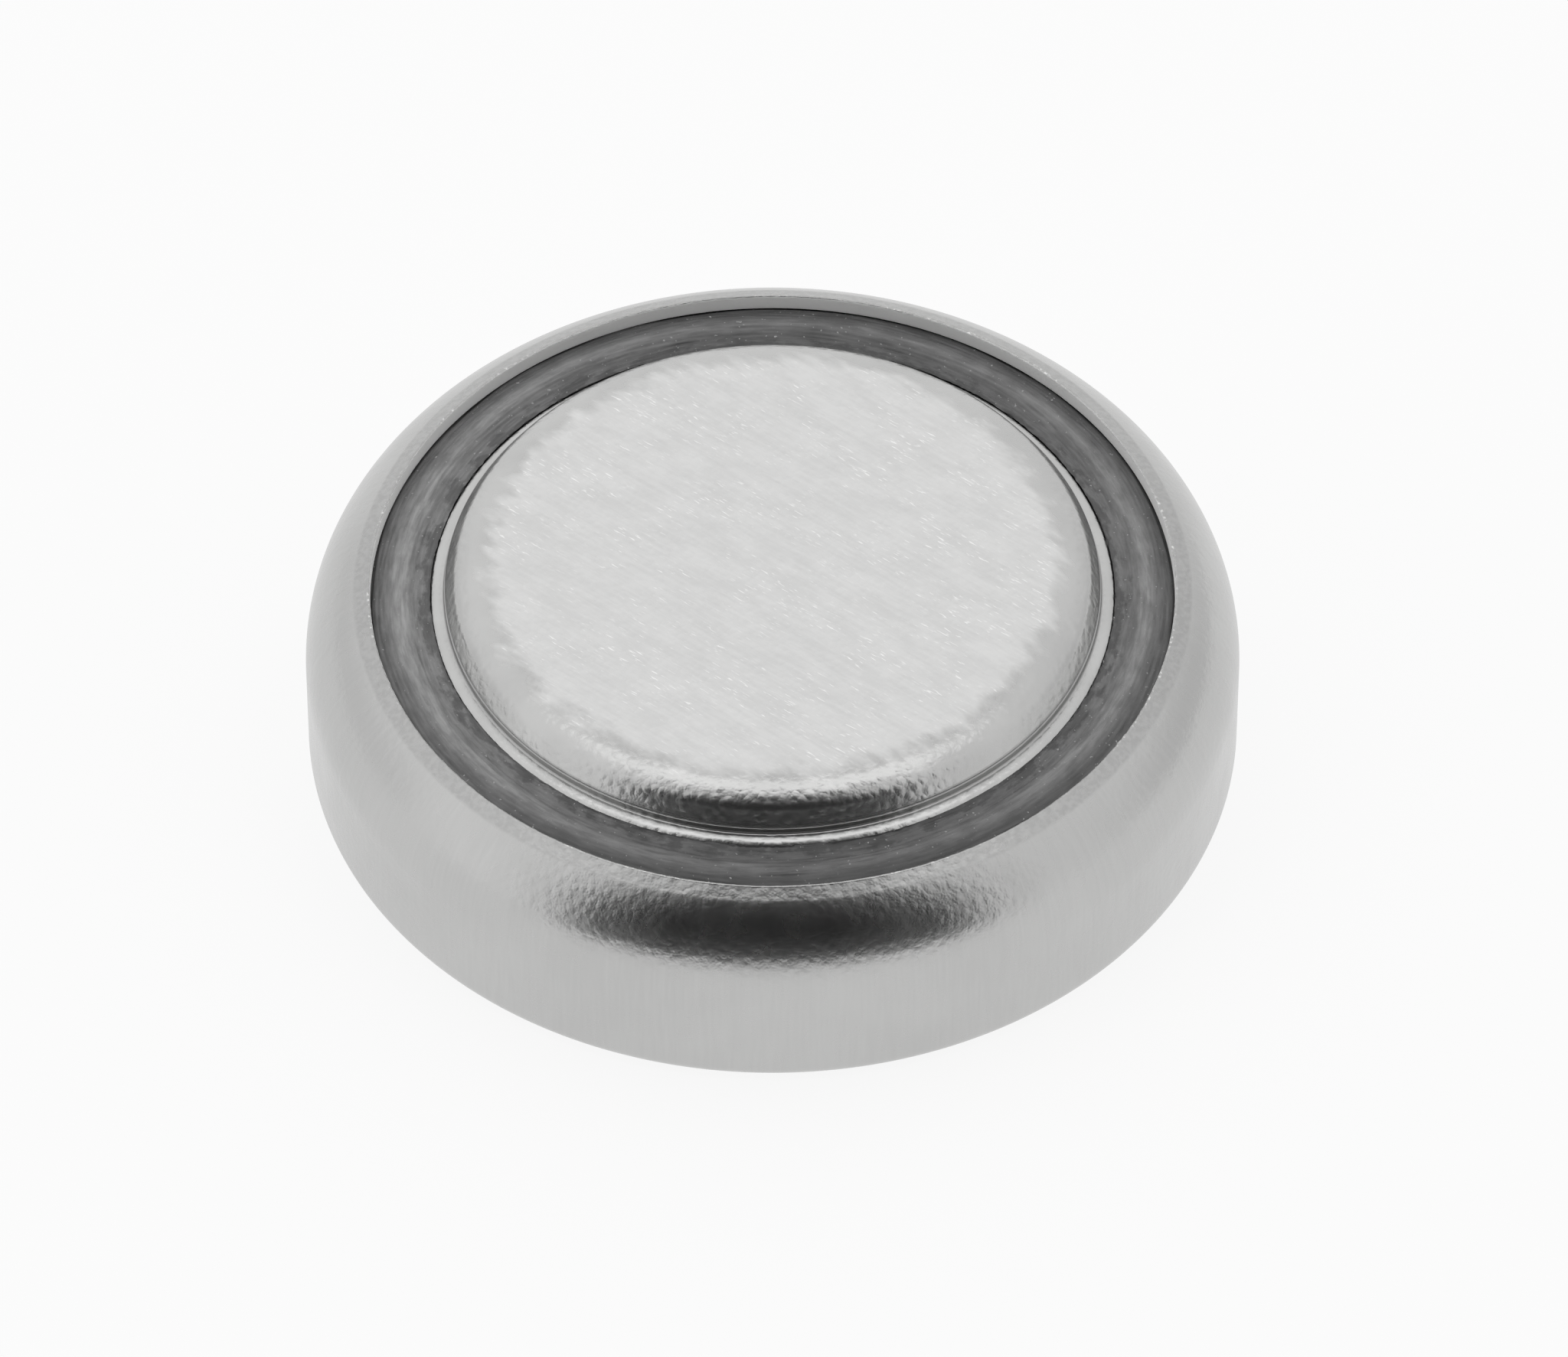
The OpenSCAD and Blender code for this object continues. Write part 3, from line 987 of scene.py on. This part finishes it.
def floor(stage):
    """A round white floor, a hair under the base, that the camera doesn't see from underneath.

    Sharp rays see its own white, and the rest see it lit and shadowed.
    """
    angle = np.arange(96) * 2 * math.pi / 96
    drop = np.full_like(angle, -stage.floor_drop)
    rim = np.column_stack((stage.floor_r * np.cos(angle), stage.floor_r * np.sin(angle), drop))
    piece = sheet_mesh("floor", rim.tolist())
    finish = Finish("white_floor")
    path = finish.add("ShaderNodeLightPath", output="Is Camera Ray")
    sharp = path
    for ray in ("Is Glossy Ray", "Is Transmission Ray"):
        sharp = finish.math("ADD", sharp, path.node.outputs[ray])
    share = finish.times(sharp, 0.88)
    lit = finish.add("ShaderNodeBsdfDiffuse", {"Color": (0.94, 0.94, 0.94, 1)})
    white = finish.add("ShaderNodeEmission", {"Color": (1, 1, 1, 1), "Strength": 1.0})
    blend = finish.add("ShaderNodeMixShader", {0: share, 1: lit, 2: white})
    hidden = finish.times(finish.add("ShaderNodeNewGeometry", output="Backfacing"), path)
    clear = finish.add("ShaderNodeBsdfTransparent")
    blend = finish.add("ShaderNodeMixShader", {0: hidden, 1: blend, 2: clear})
    finish.add("ShaderNodeOutputMaterial", {"Surface": blend})
    piece.data.materials.append(finish.material)


def dark_front(stage):
    """The tent's open front: a dark sheet behind the camera, which only reflections and light meet."""
    half, depth, top = stage.dark_half, -stage.tent_half, stage.dark_h
    corners = [(-half, depth, 0), (half, depth, 0), (half, depth, top), (-half, depth, top)]
    piece = sheet_mesh("dark_front", corners)
    piece.visible_camera = False
    finish = Finish("black_cloth")
    height = finish.height(finish.place())
    foot, top_shade = rgba((0.07, 0.07, 0.07)), rgba((0.012, 0.012, 0.012))
    base = finish.mix(finish.ramp(height, 0.0, depth * -0.8), foot, top_shade)
    piece.data.materials.append(finish.surface(Base_Color=base, Roughness=0.9, Specular_IOR_Level=0.0))


def lamp(context, stage):
    """A soft lamp overhead, whose face is lamp_level times as bright as the tent."""
    data = bpy.data.lights.new("overhead_lamp", "AREA")
    data.shape = "RECTANGLE"
    data.size = stage.lamp_x
    data.size_y = stage.lamp_y
    data.energy = stage.lamp_level * math.pi * stage.lamp_x * stage.lamp_y
    light = bpy.data.objects.new("overhead_lamp", data)
    light.location = (0, stage.lamp_back, stage.lamp_z)
    context.scene.collection.objects.link(light)


def tent(context):
    """White light from all round, greyer at the seams of the tent's back corners and behind the lamp."""
    world = bpy.data.worlds.new("white_tent")
    context.scene.world = world
    world.use_nodes = True
    sky = Nodes(world.node_tree)
    way = sky.add("ShaderNodeTexCoord", output="Generated")
    mirrored = sky.add("ShaderNodeVectorMath", {0: way}, operation="ABSOLUTE")
    parts = sky.add("ShaderNodeSeparateXYZ", {"Vector": way}, output="Y")
    folded = sky.add("ShaderNodeCombineXYZ", {"Y": parts, "Z": parts.node.outputs["Z"]})
    sky.tree.links.new(sky.add("ShaderNodeSeparateXYZ", {"Vector": mirrored}), folded.node.inputs["X"])
    corner = sky.toward(folded, (0.906, 0.423, 0))
    above = sky.toward(folded, (0, 0.407, 0.914))
    level = sky.math("SUBTRACT", sky.ramp(corner, 0.75, 1.0, 1.0, 0.8), sky.ramp(above, 0.95, 1.0, 0.0, 0.2))
    sideways = sky.toward(way, (1, 0, 0))
    level = sky.times(level, sky.ramp(sideways, -1.0, 1.0, 1.06, 0.92, smooth=False))
    background = sky.add("ShaderNodeBackground", {"Color": (1, 1, 1, 1), "Strength": level})
    sky.add("ShaderNodeOutputWorld", {"Surface": background})


def camera(context, stage, sizes):
    """A long lens that looks down at the cell from the front."""
    middle = Vector((0, 0, sizes.lip_z))
    back = Vector((0, -math.cos(stage.view_elevation), math.sin(stage.view_elevation)))
    right = Vector((1, 0, 0))
    up = back.cross(right)
    data = bpy.data.cameras.new("camera")
    data.sensor_fit = "HORIZONTAL"
    data.lens = stage.lens
    data.clip_start = stage.view_distance / 100
    data.clip_end = stage.floor_r * 3
    eye = bpy.data.objects.new("camera", data)
    eye.location = middle + back * stage.view_distance
    aim = middle + right * stage.aim_right + up * stage.aim_up
    eye.rotation_mode = "QUATERNION"
    eye.rotation_quaternion = (aim - eye.location).to_track_quat("-Z", "Y")
    context.scene.collection.objects.link(eye)
    context.scene.camera = eye
    context.scene.view_settings.view_transform = "Standard"


STEPS = (
    BUTTONCELL_OT_can,
    BUTTONCELL_OT_gasket,
    BUTTONCELL_OT_cap,
    BUTTONCELL_OT_filling,
    BUTTONCELL_OT_stage,
)


class BUTTONCELL_PT_panel(Panel):
    """The cell's pieces, sizes and finishes"""

    bl_idname = "BUTTONCELL_PT_panel"
    bl_label = "Button Cell"
    bl_space_type = "VIEW_3D"
    bl_region_type = "UI"
    bl_category = "Button Cell"

    def draw(self, context):
        layout = self.layout
        for step in STEPS:
            layout.operator(step.bl_idname)
        for title, group in (
            ("Sizes", context.scene.cell_sizes),
            ("Finishes", context.scene.cell_finishes),
            ("Stage", context.scene.cell_stage),
        ):
            box = layout.box()
            box.label(text=title)
            for name in group.__annotations__:
                box.prop(group, name)


CLASSES = (CellSizes, CellFinishes, StageSizes, *STEPS, BUTTONCELL_PT_panel)


def register():
    for cls in CLASSES:
        bpy.utils.register_class(cls)
    bpy.types.Scene.cell_sizes = PointerProperty(type=CellSizes)
    bpy.types.Scene.cell_finishes = PointerProperty(type=CellFinishes)
    bpy.types.Scene.cell_stage = PointerProperty(type=StageSizes)


def unregister():
    del bpy.types.Scene.cell_stage
    del bpy.types.Scene.cell_finishes
    del bpy.types.Scene.cell_sizes
    for cls in reversed(CLASSES):
        bpy.utils.unregister_class(cls)


def main():
    """Makes every piece."""
    register()
    bpy.ops.buttoncell.can()
    bpy.ops.buttoncell.gasket()
    bpy.ops.buttoncell.cap()
    bpy.ops.buttoncell.filling()
    bpy.ops.buttoncell.stage()


if __name__ == "__main__":
    main()
